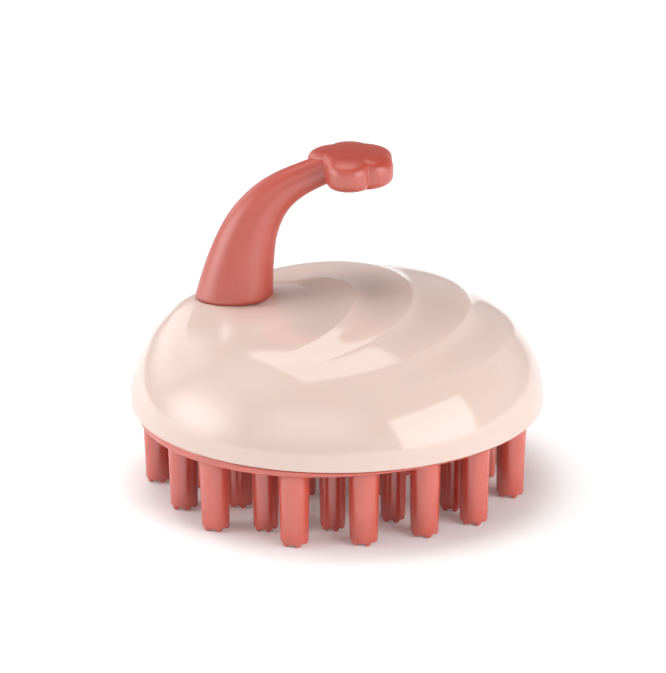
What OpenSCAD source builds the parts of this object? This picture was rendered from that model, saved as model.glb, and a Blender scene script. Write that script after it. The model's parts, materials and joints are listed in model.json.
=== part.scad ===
// Scalp massager brush: a round dome shell with a hooked handle on top and a
// silicone pad of flexible massage fingers underneath.
// Millimetres, +Z up. The origin is the centre of the circle that the finger
// tips stand on. The handle rises on the -X side and hooks over towards +X.

/* [Shell] */
// Diameter of the shell at its lower lip
shell_d = 88; // [80:1:96]
// Height of the dome above the lip
dome_h = 27; // [24:0.5:30]
// Wall thickness of the shell
shell_wall = 2.2; // [1.6:0.1:2.6]
// Height of the lip above the surface that the finger tips stand on
lip_z = 17.7; // [16:0.1:20]

/* [Handle] */
// How far the handle's foot stands from the middle of the dome
foot_x = 21.7; // [19:0.1:23]
// Width of the handle's foot, in the plane of its bend
foot_w = 16.6; // [16:0.1:18]
// Depth of the handle's foot, across its bend
foot_t = 14; // [12:0.1:15]
// Diameter of the handle's neck, where it meets the flower
neck_d = 6.3; // [5.5:0.1:7]

/* [Flower head] */
// Height of the flower's middle above the finger tips
flower_z = 68.9; // [67:0.1:71]
// How far the flower leans towards the front, in degrees
flower_tilt = 5; // [0:0.5:8]
// Thickness of the flower
flower_t = 5.4; // [5:0.1:6]
// Radius of each of the flower's petals
lobe_r = 4.3; // [4:0.1:4.8]
// Number of places round the flower; the neck takes one and a petal stands in each other
lobe_count = 6; // [5:1:7]

/* [Pad and carrier] */
// Thickness of the pad's flange, which covers the underside of the lip
flange_t = 1.3; // [1:0.1:1.6]
// Thickness of the pad above the flange
pad_t = 3.3; // [3:0.1:4]
// Thickness of the carrier plate behind the pad
carrier_t = 2.4; // [2:0.1:3]
// Distance of the carrier screws from the middle
carrier_screw_r = 21.7; // [21:0.1:22.3]

/* [Fingers] */
// Radius of the outer ring
outer_r = 38.5; // [38:0.1:38.8]
// Diameter of an outer finger at its root
outer_d = 6.2; // [5.6:0.1:6.4]
// Radius of the middle ring
middle_r = 29; // [28.5:0.1:29.2]
// Number of fingers in the inner ring
inner_count = 6; // [4:1:6]
// Radius of the inner ring
inner_r = 14.4; // [13:0.1:15]
// Diameter of a middle or inner finger at its root
inner_d = 5.6; // [5:0.1:5.8]
// Number of nubs on each finger tip
nub_count = 5; // [4:1:6]

/* [Hidden] */
$fn = 64;
coral = [0.80, 0.38, 0.33];
cream = [0.94, 0.84, 0.78];
steel = [0.72, 0.73, 0.75];
smooth_steps = 24;      // straight stretches in a quarter of the dome
air = 0.1;              // assembly gap between pieces that don't touch

shell_r = shell_d / 2;
cavity_r = shell_r - shell_wall;
cavity_h = dome_h - shell_wall;

pad_plug_z = lip_z - air;               // top of the flange
pad_face_z = pad_plug_z - flange_t;     // underside of the pad, where fingers leave it
carrier_z = pad_plug_z + pad_t;         // back of the pad
carrier_top_z = carrier_z + carrier_t;
flange_r = shell_r - 0.7;
pad_r = cavity_r - 0.5;
carrier_r = cavity_r - 1.2;

seat_z = lip_z + 22.5;                  // flat seat on the dome for the handle
seat_r = foot_w / 2 + 0.3;
seat_floor_t = 3.4;
collar_foot_r = seat_r + 4;
collar_h = 6;
seal_r = 6.4;
seal_wall = 1.8;
seal_groove = 0.6;

foot_z = seat_z + air;
screw_shank_r = 1.4;
screw_head_r = 2.8;
screw_head_h = 1.8;
screw_bite = 11;        // how far the handle screw goes into the handle
washer_r = 4.2;
washer_t = 0.8;
screw_hole_r = screw_shank_r + 0.05;
boss_r = 3.5;
carrier_bite = 9;

arm_steps = 26;
arm_sides = 28;
arm_end_x = -3;
arm_end_z = lip_z + 50.1;
level_until = 0.3;
arm_thinning = 1.9;     // how quickly the handle thins from its foot
dowel_r = 1.3;
dowel_half = 5;
neck_gap = 0.15;

flower_x = 2.7;
lobe_ring_r = 4.9;
flower_core_r = 6.2;
neck_place = 213;       // direction of the neck's place in the flower, from +X

nub_r = 0.8;
nub_tip_r = 0.5;
nub_h = 0.9;
tip_taper = 0.25;       // how much smaller a finger's radius is at its tip
tip_round = 0.7;
socket_gap = 0.2;
nub_turn = 20;          // angle of the first nub from the front

// The outer and middle fingers stand a little unevenly: how far each one is off
// its ring's radius, and its angle from the front in degrees
outer_places = [[0, -85], [-1.5, -60], [0.3, -40], [0.3, -13], [-1, 8], [-1, 28], [0.3, 46], [0, 71],
    [0, 98], [0, 120], [0, 142], [0, 164], [0, 187], [0, 209], [0, 231], [0, 253]];
middle_places = [[0, -76], [-2, -49], [4.5, -26], [1, -2], [-1, 24], [2, 50], [2.5, 85],
    [0, 111], [0, 136], [0, 161], [0, 186], [0, 211], [0, 236], [0, 259]];
outer_count = len(outer_places);
middle_count = len(middle_places);
inner_turn = -30;

function padded(i) = str(i < 10 ? "0" : "", i);
function finger_name(ring, i) = str("finger_", ring, "_", padded(i + 1));
function names(ring, count) = [for (i = [0 : count - 1]) finger_name(ring, i)];

// A place on a ring, with its angle counted from the front (-Y) towards +X
function on_ring(r, a) = [r * sin(a), -r * cos(a), 0];
function outer_at(i) = on_ring(outer_r + outer_places[i][0], outer_places[i][1]);
function middle_at(i) = on_ring(middle_r + middle_places[i][0], middle_places[i][1]);
function inner_at(i) = on_ring(inner_r, inner_turn + i * 360 / inner_count);

// The handle's centre line is one cubic curve in the XZ plane
arm_points = [[-foot_x, foot_z], [-18.8, lip_z + 44.7], [-10.8, lip_z + 46.5], [arm_end_x, arm_end_z]];
function mix(a, b, t) = a + (b - a) * t;
function arm_at(t) =
    pow(1 - t, 3) * arm_points[0] + 3 * t * pow(1 - t, 2) * arm_points[1]
    + 3 * t * t * (1 - t) * arm_points[2] + pow(t, 3) * arm_points[3];
function arm_way(t) =
    pow(1 - t, 2) * (arm_points[1] - arm_points[0])
    + 2 * t * (1 - t) * (arm_points[2] - arm_points[1])
    + t * t * (arm_points[3] - arm_points[2]);
arm_end_way = arm_way(1) / norm(arm_way(1));
arm_end_pitch = atan2(arm_end_way[0], arm_end_way[1]);   // lean of the neck from vertical
function arm_w(t) = neck_d + (foot_w - neck_d) * pow(1 - t, arm_thinning);
function arm_t(t) = neck_d + (foot_t - neck_d) * pow(1 - t, arm_thinning);

// Outline of a dome, from its lip to its top, closed down the middle
function dome_outline(r, h) = concat(
    [[0, 0]],
    [for (i = [0 : smooth_steps - 1]) [r * cos(90 * i / smooth_steps), h * sin(90 * i / smooth_steps)]],
    [[0, h]]);

module dome(r, h) {
    translate([0, 0, lip_z]) rotate_extrude($fn = 96) polygon(dome_outline(r, h));
}

module at_foot() translate([-foot_x, 0, 0]) children();

module at_neck() translate([arm_end_x, 0, arm_end_z]) rotate([0, arm_end_pitch, 0]) children();

module at_carrier_screws() {
    for (a = [45 : 90 : 315]) rotate(a) translate([carrier_screw_r, 0, 0]) children();
}

module dome_with_collar() {
    dome(shell_r, dome_h);
    at_foot() translate([0, 0, seat_z - collar_h]) cylinder(h = collar_h, r1 = collar_foot_r, r2 = seat_r);
}

module seat_floor() {
    intersection() {
        dome_with_collar();
        at_foot() translate([0, 0, seat_z - seat_floor_t]) cylinder(h = seat_floor_t, r = seat_r + 1);
    }
}

module carrier_bosses() {
    intersection() {
        dome(shell_r - 1, dome_h - 1);
        at_carrier_screws() translate([0, 0, carrier_top_z]) cylinder(h = dome_h, r = boss_r);
    }
}

module top_shell() color(cream) difference() {
    union() {
        difference() {
            dome_with_collar();
            translate([0, 0, -air]) dome(cavity_r, cavity_h);
            at_foot() translate([0, 0, seat_z]) cylinder(h = dome_h, r = seat_r);
        }
        seat_floor();
        carrier_bosses();
    }
    at_foot() translate([0, 0, seat_z - dome_h / 2]) cylinder(h = dome_h, r = screw_hole_r);
    at_foot() translate([0, 0, seat_z - seal_groove]) difference() {
        cylinder(h = dome_h, r = seal_r);
        cylinder(h = dome_h, r = seal_r - seal_wall);
    }
    at_carrier_screws() translate([0, 0, carrier_top_z - air])
        cylinder(h = carrier_bite + air, r = screw_hole_r);
}

// The foot's section lies level, and turns square to the curve over the first stretch
function arm_facing(t) = mix([0, 1], arm_way(t) / norm(arm_way(t)), min(1, t / level_until));
function arm_ring(t) = let (c = arm_at(t), d = arm_facing(t) / norm(arm_facing(t)))
    [for (j = [0 : arm_sides - 1]) let (a = 360 * j / arm_sides, u = cos(a) * arm_w(t) / 2)
        [c[0] + u * d[1], sin(a) * arm_t(t) / 2, c[1] - u * d[0]]];

module arm_body() {
    points = [for (i = [0 : arm_steps]) each arm_ring(i / arm_steps)];
    n = arm_sides;
    polyhedron(points, concat(
        [[for (j = [n - 1 : -1 : 0]) j]],
        [for (i = [0 : arm_steps - 1]) for (j = [0 : n - 1]) let (k = (j + 1) % n)
            [i * n + j, i * n + k, (i + 1) * n + k]],
        [for (i = [0 : arm_steps - 1]) for (j = [0 : n - 1]) let (k = (j + 1) % n)
            [i * n + j, (i + 1) * n + k, (i + 1) * n + j]],
        [[for (j = [0 : n - 1]) arm_steps * n + j]]));
}

module handle_arm() color(coral) difference() {
    arm_body();
    at_foot() translate([0, 0, foot_z - 1]) cylinder(h = screw_bite + 1, r = screw_hole_r);
    at_neck() cylinder(h = 2 * dowel_half, r = dowel_r, center = true);
}

module flower_outline() {
    circle(r = flower_core_r);
    for (i = [1 : lobe_count - 1])
        rotate(neck_place + 360 * i / lobe_count) translate([lobe_ring_r, 0]) circle(r = lobe_r);
}

module flower_head() color(coral) difference() {
    translate([flower_x, 0, flower_z]) rotate([flower_tilt, 0, 0])
        linear_extrude(flower_t, center = true) flower_outline();
    at_neck() translate([0, 0, -2 * neck_d]) cylinder(h = 2 * neck_d, r = neck_d / 2 + neck_gap);
    at_neck() cylinder(h = 2 * dowel_half, r = dowel_r, center = true);
}

module flower_dowel() color(steel)
    at_neck() cylinder(h = 2 * dowel_half - 2 * air, r = dowel_r, center = true);

module handle_seal() color("dimgray") at_foot() translate([0, 0, seat_z - seal_groove]) difference() {
    cylinder(h = seal_groove + air, r = seal_r);
    translate([0, 0, -1]) cylinder(h = seal_groove + 2, r = seal_r - seal_wall);
}

// A pan-head screw, pointing up, with the underside of its head at z = 0
module screw(bite) {
    cylinder(h = bite, r = screw_shank_r);
    difference() {
        translate([0, 0, -screw_head_h]) cylinder(h = screw_head_h, r = screw_head_r);
        for (a = [0, 90]) rotate(a) translate([-screw_head_r / 2, -0.4, -screw_head_h - 1])
            cube([screw_head_r, 0.8, 2]);
    }
}

module handle_screw() color(steel)
    at_foot() translate([0, 0, seat_z - seat_floor_t - washer_t])
        screw(seat_floor_t + washer_t + screw_bite - 1);

module handle_washer() color(steel)
    at_foot() translate([0, 0, seat_z - seat_floor_t - washer_t]) difference() {
        cylinder(h = washer_t, r = washer_r);
        translate([0, 0, -1]) cylinder(h = washer_t + 2, r = screw_hole_r);
    }

module carrier_plate() color(cream) difference() {
    translate([0, 0, carrier_z]) cylinder(h = carrier_t, r = carrier_r);
    at_carrier_screws() translate([0, 0, carrier_z - 1]) cylinder(h = carrier_t + 2, r = screw_hole_r);
}

module carrier_screws() color(steel)
    at_carrier_screws() translate([0, 0, carrier_z]) screw(carrier_t + carrier_bite - 1);

module finger_socket(d) {
    translate([0, 0, pad_face_z]) sphere(r = d / 2 + socket_gap, $fn = 48);
}

module bristle_pad() color(coral) difference() {
    union() {
        translate([0, 0, pad_face_z]) cylinder(h = flange_t, r = flange_r);
        translate([0, 0, pad_plug_z]) cylinder(h = pad_t, r = pad_r);
    }
    at_carrier_screws() translate([0, 0, carrier_z - screw_head_h - 0.2])
        cylinder(h = screw_head_h + 1, r = screw_head_r + 0.2);
    for (i = [0 : outer_count - 1]) translate(outer_at(i)) finger_socket(outer_d);
    for (i = [0 : middle_count - 1]) translate(middle_at(i)) finger_socket(inner_d);
    for (i = [0 : inner_count - 1]) translate(inner_at(i)) finger_socket(inner_d);
    finger_socket(inner_d);
}

// One finger: a tapered round stalk with a ball root that turns in the pad's
// socket, a rounded tip and a crown of small flat-ended nubs
module finger(d) color(coral) {
    r = d / 2;
    tip_r = r - tip_taper;
    tip_z = nub_h - 0.1;
    rotate_extrude($fn = 48) polygon(concat(
        [[0, tip_z], [tip_r - tip_round, tip_z]],
        [for (a = [15 : 15 : 90]) [tip_r - tip_round + tip_round * sin(a), tip_z + tip_round * (1 - cos(a))]],
        [for (a = [0 : 10 : 80]) [r * cos(a), pad_face_z + r * sin(a)]],
        [[0, pad_face_z + r]]));
    for (i = [0 : nub_count - 1])
        translate(on_ring(tip_r - tip_round - 0.1, nub_turn + i * 360 / nub_count))
            cylinder(h = nub_h, r1 = nub_tip_r, r2 = nub_r, $fn = 24);
}

top_shell();
handle_arm();
flower_head();
flower_dowel();
handle_seal();
handle_screw();
handle_washer();
carrier_plate();
carrier_screws();
bristle_pad();
finger(inner_d);  // finger_centre
for (i = [0 : outer_count - 1])
    translate(outer_at(i)) finger(outer_d);
for (i = [0 : middle_count - 1])
    translate(middle_at(i)) finger(inner_d);
for (i = [0 : inner_count - 1])
    translate(inner_at(i)) finger(inner_d);
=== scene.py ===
"""Scalp massager brush: whorled dome, hooked handle with a flower, silicone pad and fingers.

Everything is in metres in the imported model's frame: +Z up, -Y the front, and the
origin in the middle of the circle that the finger tips stand on.
"""
import json
import math

import bpy
import numpy as np
from mathutils import Euler, Matrix, Vector


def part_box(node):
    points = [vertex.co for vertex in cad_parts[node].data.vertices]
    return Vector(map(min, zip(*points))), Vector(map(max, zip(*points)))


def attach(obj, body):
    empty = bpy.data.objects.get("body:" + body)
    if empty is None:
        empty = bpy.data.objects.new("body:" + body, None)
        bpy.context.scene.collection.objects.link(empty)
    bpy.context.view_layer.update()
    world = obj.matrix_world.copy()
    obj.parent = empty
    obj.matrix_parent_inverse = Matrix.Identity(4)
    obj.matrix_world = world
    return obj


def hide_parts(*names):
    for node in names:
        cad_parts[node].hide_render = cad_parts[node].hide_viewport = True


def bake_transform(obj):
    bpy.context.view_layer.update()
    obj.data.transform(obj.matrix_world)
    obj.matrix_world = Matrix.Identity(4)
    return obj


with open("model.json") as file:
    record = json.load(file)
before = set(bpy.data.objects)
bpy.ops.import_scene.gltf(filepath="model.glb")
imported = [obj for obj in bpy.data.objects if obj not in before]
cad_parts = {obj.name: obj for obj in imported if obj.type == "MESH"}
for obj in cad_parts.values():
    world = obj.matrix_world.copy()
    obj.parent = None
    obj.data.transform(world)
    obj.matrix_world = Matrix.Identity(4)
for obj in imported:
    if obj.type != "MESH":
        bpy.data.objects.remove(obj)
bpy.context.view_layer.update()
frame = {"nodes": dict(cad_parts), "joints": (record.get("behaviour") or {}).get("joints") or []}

MM = 0.001

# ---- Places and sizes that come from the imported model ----
SHELL_LO, SHELL_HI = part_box("top_shell")
ARM_LO, ARM_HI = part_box("handle_arm")
FLOWER_LO, FLOWER_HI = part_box("flower_head")
LIP_Z = SHELL_LO.z
SHELL_R = round((SHELL_HI.x - SHELL_LO.x) / 2 / MM) * MM
DOME_H = SHELL_HI.z - LIP_Z
SEAT_Z = ARM_LO.z
# The same as the CAD's foot; the arm's box is wider than its foot, so it cannot give this size
FOOT_W = 16.6 * MM
FOOT_T = ARM_HI.y - ARM_LO.y
FOOT_X = ARM_LO.x + FOOT_W / 2
FLOWER_X = (FLOWER_LO.x + FLOWER_HI.x) / 2
FLOWER_Z = (FLOWER_LO.z + FLOWER_HI.z) / 2
ROOT_BODY = "brush"


def smooth(t):
    """Smooth step from 0 to 1."""
    t = np.clip(t, 0, 1)
    return t * t * (3 - 2 * t)


def mesh_object(name, verts, faces, materials, shade_smooth=True):
    """A new object from points and faces."""
    mesh = bpy.data.meshes.new(name)
    mesh.from_pydata([tuple(v) for v in verts], [], faces)
    mesh.validate()
    obj = bpy.data.objects.new(name, mesh)
    bpy.context.scene.collection.objects.link(obj)
    for material in materials:
        mesh.materials.append(material)
    if shade_smooth:
        mesh.polygons.foreach_set("use_smooth", [True] * len(mesh.polygons))
    mesh.update()
    return obj


def grid_faces(rings, sides, flip=False):
    """Quads between closed rings that follow each other."""
    faces = []
    for i in range(rings - 1):
        a, b = i * sides, (i + 1) * sides
        for j in range(sides):
            k = (j + 1) % sides
            quad = (a + j, a + k, b + k, b + j)
            faces.append(quad[::-1] if flip else quad)
    return faces


def fan(centre, ring_first, sides, flip=False):
    """Triangles from one point to a closed ring."""
    faces = []
    for j in range(sides):
        tri = (centre, ring_first + j, ring_first + (j + 1) % sides)
        faces.append(tri[::-1] if flip else tri)
    return faces


# ---- Materials ----
def new_material(name):
    """A material with only a Principled shader, with its node tree and that shader."""
    material = bpy.data.materials.new(name)
    material.use_nodes = True
    tree = material.node_tree
    return material, tree, tree.nodes["Principled BSDF"]


def set_inputs(node, **values):
    """Sets sockets by name; an underscore stands for a space."""
    for name, value in values.items():
        node.inputs[name.replace("_", " ")].default_value = value


def add_node(tree, kind, **values):
    """A new node with some of its sockets set."""
    node = tree.nodes.new(kind)
    set_inputs(node, **values)
    return node


def object_noise(tree, scale, detail=3.0, roughness=0.5):
    """A 0 to 1 noise that is fixed to the object's own coordinates."""
    place = tree.nodes.new("ShaderNodeTexCoord")
    noise = add_node(tree, "ShaderNodeTexNoise", Scale=scale, Detail=detail, Roughness=roughness)
    tree.links.new(place.outputs["Object"], noise.inputs["Vector"])
    return noise.outputs["Fac"]


def ramp(tree, source, interpolation="LINEAR", **limits):
    """Maps a value from one range to another; a range that is not given is 0 to 1."""
    node = add_node(tree, "ShaderNodeMapRange", **limits)
    node.interpolation_type = interpolation
    tree.links.new(source, node.inputs["Value"])
    return node.outputs["Result"]


def vary_colour(tree, shader, source, low, high):
    """Lets the base colour wander between two colours."""
    node = tree.nodes.new("ShaderNodeMix")
    node.data_type = "RGBA"
    node.inputs["A"].default_value = (*low, 1)
    node.inputs["B"].default_value = (*high, 1)
    tree.links.new(source, node.inputs["Factor"])
    tree.links.new(node.outputs["Result"], shader.inputs["Base Color"])


def vary_roughness(tree, shader, source, low, high):
    """Lets the roughness wander between two values."""
    tree.links.new(ramp(tree, source, To_Min=low, To_Max=high), shader.inputs["Roughness"])


def bump(tree, shader, height, strength, distance):
    """Lets a 0 to 1 height disturb the shader's normal."""
    node = add_node(tree, "ShaderNodeBump", Strength=strength, Distance=distance)
    tree.links.new(height, node.inputs["Height"])
    tree.links.new(node.outputs["Normal"], shader.inputs["Normal"])


def gloss_shell_material():
    """Polished cream ABS with the faint ripple of a moulded wall."""
    material, tree, shader = new_material("gloss_cream_plastic")
    vary_colour(tree, shader, object_noise(tree, 35, 2), (0.60, 0.455, 0.40), (0.62, 0.47, 0.41))
    vary_roughness(tree, shader, object_noise(tree, 160, 4, 0.6), 0.06, 0.12)
    bump(tree, shader, object_noise(tree, 60, 1), 0.04, 0.0004)
    set_inputs(shader, IOR=1.75, Subsurface_Weight=0.08, Subsurface_Scale=1.0,
               Subsurface_Radius=(0.004, 0.002, 0.0015))
    return material


def soft_touch_material():
    """Satin coral paint with a fine soft-touch grain."""
    material, tree, shader = new_material("soft_touch_coral")
    vary_colour(tree, shader, object_noise(tree, 90, 3), (0.40, 0.055, 0.035), (0.43, 0.063, 0.040))
    grain = object_noise(tree, 2600, 2)
    vary_roughness(tree, shader, grain, 0.33, 0.40)
    bump(tree, shader, grain, 0.06, 0.00002)
    set_inputs(shader, IOR=1.65, Specular_IOR_Level=0.85)
    return material


def silicone_material():
    """Coral silicone: slightly translucent, satin, with a faint moulded bloom."""
    material, tree, shader = new_material("coral_silicone")
    vary_colour(tree, shader, object_noise(tree, 120, 3), (0.47, 0.068, 0.042), (0.51, 0.080, 0.050))
    bloom = object_noise(tree, 700, 3)
    vary_roughness(tree, shader, bloom, 0.20, 0.26)
    bump(tree, shader, bloom, 0.04, 0.00002)
    set_inputs(shader, IOR=1.6, Specular_IOR_Level=1.0, Sheen_Weight=0.04, Sheen_Roughness=0.25)
    set_inputs(shader, Subsurface_Weight=0.4, Subsurface_Scale=1.0,
               Subsurface_Radius=(0.005, 0.0012, 0.0008))
    return material


def plated_steel_material():
    """Zinc-plated steel for the hidden screws, washer and dowel."""
    material, tree, shader = new_material("plated_steel")
    stain = object_noise(tree, 400, 3)
    vary_colour(tree, shader, stain, (0.50, 0.50, 0.52), (0.62, 0.62, 0.63))
    vary_roughness(tree, shader, stain, 0.25, 0.4)
    set_inputs(shader, Metallic=1.0)
    return material


def black_rubber_material():
    """Dull black rubber for the hidden seal."""
    material, tree, shader = new_material("black_rubber")
    grain = object_noise(tree, 1500, 2)
    vary_colour(tree, shader, grain, (0.012, 0.012, 0.012), (0.03, 0.03, 0.03))
    vary_roughness(tree, shader, grain, 0.6, 0.8)
    return material


def carrier_material():
    """Unpolished cream plastic for the hidden carrier plate."""
    material, tree, shader = new_material("moulded_cream_plastic")
    vary_colour(tree, shader, object_noise(tree, 50, 2), (0.74, 0.56, 0.47), (0.80, 0.61, 0.52))
    grain = object_noise(tree, 1800, 2)
    vary_roughness(tree, shader, grain, 0.45, 0.6)
    bump(tree, shader, grain, 0.1, 0.00005)
    return material


SHELL_MAT = gloss_shell_material()
HANDLE_MAT = soft_touch_material()
SILICONE_MAT = silicone_material()

# ---- Shell: a dome whose top is a whorl of hollowed bands with crisp edges between them ----
# The edges are circles that lie inside each other and crowd together at the front left.
# A circle of radius r has its centre at OUTER_CENTRE + LEAN * (r - OUTER_EDGE).
LEAN = np.array([0.50, 0.56])
EDGES = np.array([17.5, 25.6, 33.6, 40.0]) * MM
OUTER_EDGE = EDGES[-1]
OUTER_CENTRE = np.array([-2.5, 0.9]) * MM
# How deep each band is hollowed, from the middle one outwards
SAG = np.array([2.0, 0.75, 0.8, 0.75, 0.25]) * MM
# Degrees round a band's own circle, with 0 to the right and 90 to the back: each band starts at
# its RUN_OUT, deepens over FRONT_FADE, and fades over BACK_FADE until it ends at BACK_END.
# Angles below TURN_START belong to the end of the turn.
RUN_OUT = np.array([-90, -92, -94, -97, -100])
FRONT_FADE = 90
BACK_FADE = 60
BACK_END = 190
TURN_START = -130
# The outer bands' profile is u * (PROFILE_LEAN - u) * (1 - u): a lean nearer to 1 puts the
# deepest place nearer to the inner edge. Both profiles are scaled to a depth of about 1.
PROFILE_LEAN = 1.15
OUTER_SCALE = 6.0
MIDDLE_SCALE = 27 / 4
# The dome is a superellipse, fuller on the right than on the left
FULLNESS = 2.07
FULLER_RIGHT = 0.15
# The collar, where the dome runs into the handle's foot: it starts FOOT_GAP outside the foot,
# reaches COLLAR_L, and has its seat COLLAR_SINK below the foot.
COLLAR_L = 18 * MM
COLLAR_POWER = 2.2
COLLAR_SINK = 0.1 * MM
FOOT_GAP = 0.25 * MM
# The lip's rounding and the wall's thickness
LIP_ROUND = 0.5 * MM
WALL = 2.2 * MM
# The mesh
SHELL_SIDES = 384
SHELL_ANGLES = np.radians(np.linspace(-225, 135, SHELL_SIDES, endpoint=False))
FIRST_RING = 0.3 * MM
RING_STEP = 0.28 * MM
RINGS_BELOW = 44
INNER_RINGS = 30


def edge_centre(r):
    """Centre of the whorl circle of radius r; outside the last edge it slides back to the dome's."""
    r = np.asarray(r, float)[..., None]
    inner = OUTER_CENTRE + LEAN * (r - OUTER_EDGE)
    outer = OUTER_CENTRE * (SHELL_R - r) / (SHELL_R - OUTER_EDGE)
    return np.where(r < OUTER_EDGE, inner, outer)


def fullness(x, y):
    """The dome's superellipse exponent in the direction of a point."""
    r = np.hypot(x, y) + 1e-9
    return FULLNESS + FULLER_RIGHT * x / r


def dome_height(x, y, radius, height):
    """Height of the plain dome, without its whorl."""
    p = fullness(x, y)
    r = np.clip(np.hypot(x, y) / radius, 0, 1)
    return height * np.clip(1 - r ** p, 0, 1) ** (1 / p)


def band_profile(u, middle):
    """How hollow a band is, for u from 0 at its inner edge to 1 at its outer edge."""
    if middle:
        return MIDDLE_SCALE * u * u * (1 - u)
    return OUTER_SCALE * u * (1 - u) * (PROFILE_LEAN - u)


def band_sag(r, angle):
    """How far each band is hollowed below the dome; the edges between the bands stay at the dome."""
    turn = np.degrees(angle)
    turn = np.where(turn < TURN_START, turn + 360, turn)
    back = smooth((BACK_END - turn) / BACK_FADE)
    bounds = np.concatenate([[0], EDGES, [SHELL_R]])
    sag = np.zeros_like(r)
    for start, end, depth, run_out in zip(bounds[:-1], bounds[1:], SAG, RUN_OUT):
        u = np.clip((r - start) / (end - start), 0, 1)
        front = smooth((turn - run_out) / FRONT_FADE)
        sag += depth * band_profile(u, start == 0) * front * back
    return sag


def foot_distance(x, y):
    """Distance outside the handle's foot, roughly, in metres."""
    a, b = FOOT_W / 2 + FOOT_GAP, FOOT_T / 2 + FOOT_GAP
    q = np.sqrt(((x - FOOT_X) / a) ** 2 + (y / b) ** 2)
    return (q - 1) * (a + b) / 2


def shell_rings():
    """Radii of the whorl circles that the mesh follows, with one on each edge between bands."""
    rings = []
    start = FIRST_RING
    for end in EDGES:
        count = int((end - start) / RING_STEP)
        rings += list(start + (end - start) * np.arange(count) / count)
        start = end
    t = np.linspace(math.asin(OUTER_EDGE / SHELL_R), math.pi / 2, RINGS_BELOW)
    rings += list(SHELL_R * np.sin(t))
    return np.array(rings)


def shell_surface():
    """Points of the outer surface, ring by ring, from the middle of the whorl to the lip."""
    r, a = np.meshgrid(shell_rings(), SHELL_ANGLES, indexing="ij")
    centre = edge_centre(r)
    x = centre[..., 0] + r * np.cos(a)
    y = centre[..., 1] + r * np.sin(a)
    z = LIP_ROUND + dome_height(x, y, SHELL_R, DOME_H - LIP_ROUND)
    distance = foot_distance(x, y)
    near = np.clip(1 - distance / COLLAR_L, 0, 1) ** COLLAR_POWER
    sag = band_sag(r, a) * (1 - near)
    normal = np.stack([x / SHELL_R ** 2, y / SHELL_R ** 2, z / DOME_H ** 2], -1)
    normal /= np.linalg.norm(normal, axis=-1, keepdims=True)
    z_seat = SEAT_Z - LIP_Z - COLLAR_SINK
    points = np.stack([x, y, z], -1) - normal * sag[..., None]
    points[..., 2] = points[..., 2] * (1 - near) + z_seat * near
    points[..., 2] = np.where(distance < 0, z_seat, points[..., 2])
    points[..., 2] += LIP_Z
    return points


def make_shell():
    """The dome with its rounded lip and its inner wall, closed all round."""
    outer = shell_surface()
    rings = list(outer)
    n = SHELL_SIDES

    def ring(radius, z):
        x, y = radius * np.cos(SHELL_ANGLES), radius * np.sin(SHELL_ANGLES)
        rings.append(np.stack([x, y, np.full(n, z)], -1))

    for t in np.radians([20, 40, 60, 80, 90]):
        ring(SHELL_R - LIP_ROUND * (1 - math.cos(t)), LIP_Z + LIP_ROUND * (1 - math.sin(t)))
    inner_r, inner_h = SHELL_R - WALL, DOME_H - WALL
    for t in np.radians(np.linspace(0, 88, INNER_RINGS)):
        ring(inner_r * math.cos(t), LIP_Z + inner_h * math.sin(t))
    count = len(rings)
    verts = np.concatenate(rings + [[outer[0].mean(0)], [np.array([0, 0, LIP_Z + inner_h])]])
    middle = count * n
    faces = grid_faces(count, n)
    faces += fan(middle, 0, n, flip=True)
    faces += fan(middle + 1, (count - 1) * n, n)
    shell = mesh_object("shell_whorled", verts, faces, [SHELL_MAT])
    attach(shell, ROOT_BODY)
    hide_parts("top_shell")


make_shell()


# ---- Handle ----
# The four points of its middle line, a Bezier curve: mm to the right of the middle and over the lip
ARM_POINTS = [(-21.7, 22.6), (-18.8, 44.7), (-10.8, 46.5), (-3.0, 50.1)]
NECK_D = 6.3 * MM
ARM_TAPER = 1.9
# The foot's section lies level, and turns square to the curve by this far along
LEVEL_UNTIL = 0.3
# How much narrower the foot's lowest ring is, as its rounded edge
FOOT_EDGE = 0.5 * MM
# How far the arm runs on into the flower
RUN_ON = 3.0 * MM


def arm_curve(t):
    """Place on the middle line, and the direction in which the section there faces, in x and z."""
    p = [np.array([x, z]) * MM + np.array([0, LIP_Z]) for x, z in ARM_POINTS]
    s = 1 - t
    place = s ** 3 * p[0] + 3 * t * s * s * p[1] + 3 * t * t * s * p[2] + t ** 3 * p[3]
    way = s * s * (p[1] - p[0]) + 2 * t * s * (p[2] - p[1]) + t * t * (p[3] - p[2])
    way = way / np.linalg.norm(way)
    level = max(0, 1 - t / LEVEL_UNTIL)
    way = way * (1 - level) + np.array([0, 1]) * level
    return place, way / np.linalg.norm(way)


def make_arm():
    """One curved tube with an oval section that thins towards the neck and runs on into the flower."""
    sides, steps, extra = 96, 120, 3
    verts = []
    for i in range(steps + extra):
        t = min(i / steps, 1)
        place, way = arm_curve(t)
        place = place + way * max(0, i - steps) * RUN_ON / (extra - 1)
        slim = (1 - t) ** ARM_TAPER
        w = NECK_D + (FOOT_W - NECK_D) * slim
        d = NECK_D + (FOOT_T - NECK_D) * slim
        if i == 0:
            w, d = w - FOOT_EDGE, d - FOOT_EDGE
        for j in range(sides):
            a = 2 * math.pi * j / sides
            u = math.cos(a) * w / 2
            verts.append((place[0] + u * way[1], math.sin(a) * d / 2, place[1] - u * way[0]))
    faces = grid_faces(steps + extra, sides)
    foot, end = len(verts), len(verts) + 1
    p0, _ = arm_curve(0)
    p1, way = arm_curve(1)
    p1 = p1 + way * RUN_ON
    verts += [(p0[0], 0, p0[1]), (p1[0], 0, p1[1])]
    faces += fan(foot, 0, sides, flip=True)
    faces += fan(end, (steps + extra - 1) * sides, sides)
    arm = mesh_object("handle_curved", verts, faces, [HANDLE_MAT])
    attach(arm, ROOT_BODY)
    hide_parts("handle_arm")


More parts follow.
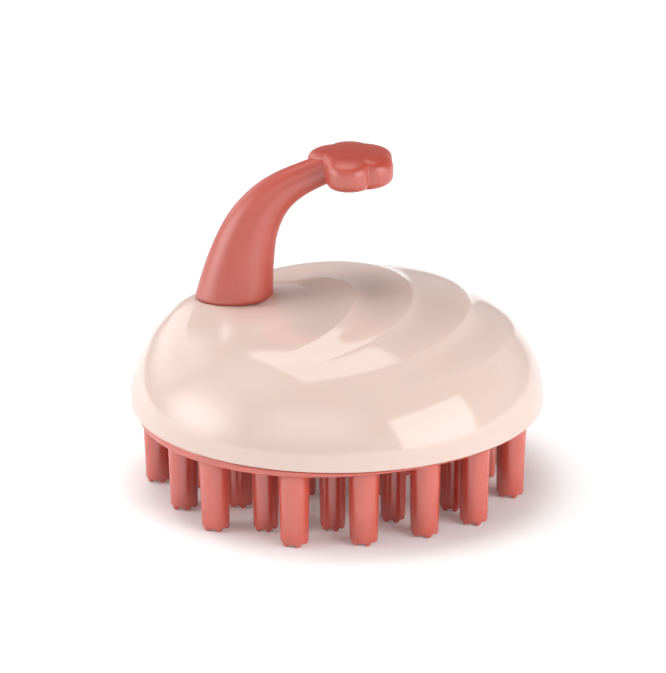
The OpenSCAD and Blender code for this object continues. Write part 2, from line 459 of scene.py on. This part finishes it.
make_arm()

# ---- Flower: a round core with petals on a ring, plumper and a little lower than the CAD's ----
PETAL_ANGLES = [-95, -30, 33, 93, 153]
PETAL_RING = 5.0 * MM
PETAL_R = 4.5 * MM
CORE_R = 6.2 * MM
FLOWER_T = 7.2 * MM
FLOWER_TILT = math.radians(5)
FLOWER_RIGHT = 0.2 * MM
FLOWER_DOWN = 0.5 * MM
PILLOW_POWER = 3.5
GROOVE_FADE = 1.6


def petal_reach(angle):
    """Outline of the flower in a direction: the farthest reach of its core and petals."""
    reach = [CORE_R]
    for petal in PETAL_ANGLES:
        b = math.radians(petal)
        along = PETAL_RING * math.cos(angle - b)
        across = PETAL_RING * math.sin(angle - b)
        if along > 0 and abs(across) < PETAL_R:
            reach.append(along + math.sqrt(PETAL_R ** 2 - across ** 2))
    return max(reach)


def make_flower():
    """A plump flower: a pillow section in every direction, with grooves that fade out on its faces."""
    half = FLOWER_T / 2
    sides, steps = 240, 64
    reach = [petal_reach(2 * math.pi * j / sides) for j in range(sides)]
    plain = sum(reach) / sides
    verts = []
    for i in range(1, steps):
        t = math.pi * i / steps
        s = abs(math.sin(t)) ** (2 / PILLOW_POWER)
        c = math.copysign(abs(math.cos(t)) ** (2 / PILLOW_POWER), math.cos(t))
        for j in range(sides):
            a = 2 * math.pi * j / sides
            rr = s * (plain + (reach[j] - plain) * s ** GROOVE_FADE)
            verts.append((rr * math.cos(a), rr * math.sin(a), half * c))
    faces = grid_faces(steps - 1, sides, flip=True)
    north, south = len(verts), len(verts) + 1
    verts += [(0, 0, half), (0, 0, -half)]
    place = Matrix.Translation((FLOWER_X + FLOWER_RIGHT, 0, FLOWER_Z - FLOWER_DOWN))
    place = place @ Matrix.Rotation(FLOWER_TILT, 4, "X")
    verts = [place @ Vector(v) for v in verts]
    faces += fan(north, 0, sides)
    faces += fan(south, (steps - 2) * sides, sides, flip=True)
    flower = mesh_object("flower_petals", verts, faces, [HANDLE_MAT])
    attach(flower, ROOT_BODY)
    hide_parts("flower_head")


make_flower()

# ---- Pad ----
PAD_R = SHELL_R - 0.7 * MM
PAD_GAP = 0.25 * MM
PAD_BAND = 0.3 * MM
# The part inside the shell
PLUG_R = SHELL_R - 3 * MM
PLUG_TOP = LIP_Z + 3 * MM
# The underside slopes down against the direction CANT_WAY; CANT_START delays the slope, and
# CANT_SOFTNESS rounds the place where it begins.
CANT_WAY = (0.85, 0.53)
CANT_SLOPE = 0.05
CANT_START = 0.15 * MM
CANT_SOFTNESS = 0.25 * MM


def pad_bottom(x, y):
    """Height of the pad's underside: it hangs lowest at the front left and tucks in at the back right."""
    reach = -(CANT_WAY[0] * x + CANT_WAY[1] * y)
    slope = CANT_SLOPE * reach - CANT_START
    return LIP_Z - CANT_SOFTNESS * np.log1p(np.exp(slope / CANT_SOFTNESS)) - PAD_BAND


def make_pad():
    """The silicone disc: its rim hangs below the lip as a band and rounds into the canted underside."""
    sides, fillet, bevel = 256, 0.6 * MM, 0.1 * MM
    a = np.linspace(0, 2 * math.pi, sides, endpoint=False)
    rings = []

    def ring(radius, z):
        rings.append(np.stack([radius * np.cos(a), radius * np.sin(a), np.broadcast_to(z, a.shape)], -1))

    top_edge = LIP_Z - PAD_GAP
    ring(PLUG_R, PLUG_TOP)
    ring(PLUG_R, top_edge)
    ring(PAD_R - 0.15 * MM, top_edge)
    ring(PAD_R, top_edge - bevel)
    low = pad_bottom(PAD_R * np.cos(a), PAD_R * np.sin(a))
    deep = np.clip((top_edge - low) / (2 * MM), 0, 1)
    fil = np.minimum(fillet, (top_edge - bevel - low) * 0.7)
    foot_r = PAD_R - 0.5 * MM * deep
    for t in np.radians(np.linspace(0, 90, 8)):
        rr = foot_r - fil * (1 - math.cos(t))
        rings.append(np.stack([rr * np.cos(a), rr * np.sin(a), low + fil * (1 - math.sin(t))], -1))
    for radius in np.linspace(PAD_R - 2.0 * MM, 1 * MM, 30):
        ring(radius, pad_bottom(radius * np.cos(a), radius * np.sin(a)))
    verts = np.concatenate(rings)
    faces = grid_faces(len(rings), sides)
    top, low_mid = len(verts), len(verts) + 1
    verts = np.concatenate([verts, [[0, 0, PLUG_TOP]], [[0, 0, float(pad_bottom(0.0, 0.0))]]])
    faces += fan(top, 0, sides, flip=True)
    faces += fan(low_mid, (len(rings) - 1) * sides, sides)
    pad = mesh_object("silicone_pad", verts, faces, [SILICONE_MAT])
    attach(pad, ROOT_BODY)
    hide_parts("bristle_pad")


make_pad()

# ---- Fingers ----
NUBS = 5
NUB_TURN = math.radians(20)
NUB_R = 0.68 * MM
NUB_INSET = 0.05 * MM
# The tip's face lies at TIP_Z, with a scoop in its middle, and the nubs reach down from it to the table
TIP_Z = 0.8 * MM
TIP_EDGE = 0.35 * MM
SCOOP_DEPTH = 0.5 * MM
SCOOP_SHARE = 0.62
FINGER_TAPER = 0.25 * MM
FLARE = 1.2 * MM
FLARE_H = 2.4 * MM
# How far the root is sunk into the pad, and how far it stays inside the pad's rim
ROOT_SINK = 0.6 * MM
RIM_CLEARANCE = 0.6 * MM
FINGER_SIDES = 96


def tip_drop(x, y, tip_r):
    """How far the tip reaches below TIP_Z at a point: nubs stand out round a scooped middle."""
    drop = -SCOOP_DEPTH * np.clip(1 - (np.hypot(x, y) / (tip_r * SCOOP_SHARE)) ** 2, 0, 1)
    for k in range(NUBS):
        b = NUB_TURN + 2 * math.pi * k / NUBS
        reach = tip_r - NUB_R - NUB_INSET
        d = np.hypot(x - reach * math.sin(b), y + reach * math.cos(b)) / NUB_R
        drop = np.maximum(drop, TIP_Z * np.sqrt(np.clip(1 - d ** 2, 0, 1)))
    return drop


def make_finger(joint):
    """A tapered finger that flares into the pad, with a crown of nubs round its tip."""
    name = joint["child"]
    lo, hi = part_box(name)
    cx, cy, pivot_z = joint["pos_m"]
    root_r = (hi.x - lo.x) / 2
    tip_r = root_r - FINGER_TAPER
    a = np.linspace(0, 2 * math.pi, FINGER_SIDES, endpoint=False)
    ux, uy = np.cos(a), np.sin(a)
    under = float(pad_bottom(cx, cy))
    rings = []

    def ring(r, z):
        x, y = cx + r * ux, cy + r * uy
        inside = np.minimum(1, (PAD_R - RIM_CLEARANCE) / np.hypot(x, y))
        rings.append(np.stack([x * inside, y * inside, np.broadcast_to(z, a.shape)], -1))

    flare_top = under + 0.1 * MM
    ring(root_r + FLARE, under + ROOT_SINK)
    for t in np.radians(np.linspace(0, 90, 12)):
        ring(root_r + FLARE * (1 - math.sin(t)), flare_top - FLARE_H * (1 - math.cos(t)))
    z0, z1 = flare_top - FLARE_H, TIP_Z + TIP_EDGE
    for s in np.linspace(0, 1, 12)[1:]:
        ring(root_r + (tip_r - root_r) * s, z0 + (z1 - z0) * s)
    for t in np.radians([15, 30, 45, 60, 75]):
        r = tip_r - TIP_EDGE * (1 - math.cos(t))
        ring(r, TIP_Z + TIP_EDGE * (1 - math.sin(t)) - tip_drop(r * ux, r * uy, tip_r).clip(0))
    for s in np.linspace(1, 0.04, 22) ** 0.8:
        r = (tip_r - TIP_EDGE) * s
        ring(r, TIP_Z - tip_drop(r * ux, r * uy, tip_r))
    verts = np.concatenate(rings)
    faces = grid_faces(len(rings), FINGER_SIDES)
    up, down = len(verts), len(verts) + 1
    verts = np.concatenate([verts, [[cx, cy, under + ROOT_SINK]], [[cx, cy, TIP_Z + SCOOP_DEPTH]]])
    faces += fan(up, 0, FINGER_SIDES, flip=True)
    faces += fan(down, (len(rings) - 1) * FINGER_SIDES, FINGER_SIDES)
    finger = mesh_object("silicone_" + name, verts, faces, [SILICONE_MAT])
    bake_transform(finger)
    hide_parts(name)


for joint in frame["joints"]:
    make_finger(joint)


# ---- Hidden hardware keeps its CAD shape and gets real materials ----
def dress(node, material):
    """Puts a material in a CAD node's slot and leaves its shape alone."""
    obj = frame["nodes"][node]
    obj.data.materials.clear()
    obj.data.materials.append(material)


METAL = plated_steel_material()
for node in ("flower_dowel", "handle_screw", "handle_washer", "carrier_screws"):
    dress(node, METAL)
dress("handle_seal", black_rubber_material())
dress("carrier_plate", carrier_material())


# ---- Studio ----
# Azimuth, elevation, distance, width, height, softness and radiance of each softbox. A fill stands
# where the softbox of that name stands: it lights the brush and is not reflected in it, so the
# reflection of a softbox can be weaker than its light.
SOFTBOXES = {
    "right": (55, 18, 0.9, 0.78, 0.66, 0.08, 2.4),
    "left": (-84, 17, 0.9, 1.15, 0.95, 0.9, 2.9),
    "top": (205, 76, 0.8, 0.55, 0.55, 0.05, 1.7),
    "front": (-18, 33, 0.9, 1.2, 0.8, 0.7, 1.0),
    "back_left": (-135, 25, 0.9, 0.7, 0.7, 0.7, 1.4),
    "left_high": (-90, 52, 0.9, 0.8, 0.7, 0.6, 0.5),
    "back": (130, 28, 0.9, 0.8, 0.7, 0.6, 0.15),
    "back_low": (180, 8, 0.9, 1.1, 0.25, 0.6, 0.1),
    "right_fill": (55, 18, 0.9, 0.9, 0.8, 0.5, 3.6),
    "left_fill": (-84, 17, 0.9, 0.9, 0.8, 0.5, 2.6),
    "top_fill": (205, 76, 0.8, 0.7, 0.7, 0.5, 3.7),
}
# The floor's glow is faint up to FLOOR_NEAR from the middle and strongest from FLOOR_FAR on
FLOOR_SIZE = 8.0
FLOOR_NEAR = 0.15
FLOOR_FAR = 0.9
FLOOR_GLOW = 0.08
FAR_FLOOR_GLOW = 0.6
# The sky's glow fades between these two heights, given as the sine of the elevation
HORIZON_TOP = 0.25
SKY_BOTTOM = 0.5
HORIZON_GLOW = 0.36
SKY_GLOW = 0.02
WHITE = (1, 1, 1, 1)
# The camera is at the front. CAMERA_AIM is how far it turns up and to the left, in degrees, from
# looking at the middle of the lip's plane.
CAMERA_DISTANCE = 500 * MM
CAMERA_ELEVATION = 20.29
CAMERA_AIM = (1.466, 0.108)
CAMERA_ROLL = -0.25
CAMERA_LENS = 124.8


def make_floor():
    """A large matt floor whose glow grows away from the middle."""
    material, tree, shader = new_material("studio_floor")
    set_inputs(shader, Base_Color=(0.9, 0.9, 0.9, 1), Roughness=0.9, Specular_IOR_Level=0.0,
               Emission_Color=WHITE)
    place = tree.nodes.new("ShaderNodeTexCoord")
    away = tree.nodes.new("ShaderNodeVectorMath")
    away.operation = "LENGTH"
    tree.links.new(place.outputs["Object"], away.inputs[0])
    glow = ramp(tree, away.outputs["Value"], "SMOOTHSTEP", From_Min=FLOOR_NEAR, From_Max=FLOOR_FAR,
                To_Min=FLOOR_GLOW, To_Max=FAR_FLOOR_GLOW)
    tree.links.new(glow, shader.inputs["Emission Strength"])
    size = FLOOR_SIZE
    corners = [(-size, -size, 0), (size, -size, 0), (size, size, 0), (-size, size, 0)]
    floor = mesh_object("studio_floor", corners, [(0, 1, 2, 3)], [material], shade_smooth=False)


def soft_edges(tree, softness):
    """Makes an area light fade towards its edges; softness is the faded part of each half."""
    place = tree.nodes.new("ShaderNodeNewGeometry")
    split = tree.nodes.new("ShaderNodeSeparateXYZ")
    tree.links.new(place.outputs["Parametric"], split.inputs[0])
    both = tree.nodes.new("ShaderNodeMath")
    both.operation = "MULTIPLY"
    for i, axis in enumerate("XY"):
        from_edge = tree.nodes.new("ShaderNodeMath")
        from_edge.operation = "PINGPONG"
        from_edge.inputs[1].default_value = 0.5
        tree.links.new(split.outputs[axis], from_edge.inputs[0])
        fade = ramp(tree, from_edge.outputs[0], "SMOOTHSTEP", From_Max=softness / 2)
        tree.links.new(fade, both.inputs[i])
    tree.links.new(both.outputs[0], tree.nodes["Emission"].inputs["Strength"])


def softbox(name, azimuth, elevation, distance, width, height, softness, radiance):
    """A rectangular light that faces the brush. Azimuth counts from the front (-Y) towards +X."""
    light = bpy.data.lights.new(name, "AREA")
    light.shape = "RECTANGLE"
    light.size, light.size_y = width, height
    light.energy = radiance * math.pi * width * height
    light.use_nodes = True
    soft_edges(light.node_tree, softness)
    obj = bpy.data.objects.new(name, light)
    az, el = math.radians(azimuth), math.radians(elevation)
    away = Vector((math.cos(el) * math.sin(az), -math.cos(el) * math.cos(az), math.sin(el)))
    target = Vector((0, 0, LIP_Z + 10 * MM))
    obj.location = target + away * distance
    obj.rotation_euler = (-away).to_track_quat("-Z", "Y").to_euler()
    bpy.context.scene.collection.objects.link(obj)
    return obj


def make_world():
    """A grey sky that is brighter in a band round the horizon."""
    world = bpy.data.worlds.new("studio")
    bpy.context.scene.world = world
    world.use_nodes = True
    tree = world.node_tree
    place = tree.nodes.new("ShaderNodeTexCoord")
    split = tree.nodes.new("ShaderNodeSeparateXYZ")
    tree.links.new(place.outputs["Generated"], split.inputs[0])
    glow = ramp(tree, split.outputs["Z"], "SMOOTHSTEP", From_Min=HORIZON_TOP, From_Max=SKY_BOTTOM,
                To_Min=HORIZON_GLOW, To_Max=SKY_GLOW)
    background = tree.nodes["Background"]
    set_inputs(background, Color=WHITE)
    tree.links.new(glow, background.inputs["Strength"])


def make_lights():
    """All softboxes. With multiple importance sampling, lights that stand in one place lose some
    of their power, so the fills do without it."""
    for name, values in SOFTBOXES.items():
        light = softbox("softbox_" + name, *values)
        if name.endswith("fill"):
            light.visible_glossy = False
            light.data.cycles.use_multiple_importance_sampling = False


def make_camera():
    """The photograph's view: 0.5 m away, 20 degrees above the lip's plane."""
    data = bpy.data.cameras.new("camera")
    data.sensor_width = 36
    data.lens = CAMERA_LENS
    data.clip_start, data.clip_end = 0.01, 50
    cam = bpy.data.objects.new("camera", data)
    elevation = math.radians(CAMERA_ELEVATION)
    height = LIP_Z + CAMERA_DISTANCE * math.sin(elevation)
    cam.location = (0, -CAMERA_DISTANCE * math.cos(elevation), height)
    up, left = CAMERA_AIM
    aim = Euler((math.radians(90 - CAMERA_ELEVATION + up), 0, math.radians(left))).to_matrix()
    roll = Matrix.Rotation(math.radians(CAMERA_ROLL), 3, "Z")
    cam.rotation_euler = (aim @ roll).to_euler()
    bpy.context.scene.collection.objects.link(cam)
    bpy.context.scene.camera = cam


make_floor()
make_world()
make_lights()
make_camera()
bpy.context.scene.view_settings.view_transform = "Standard"
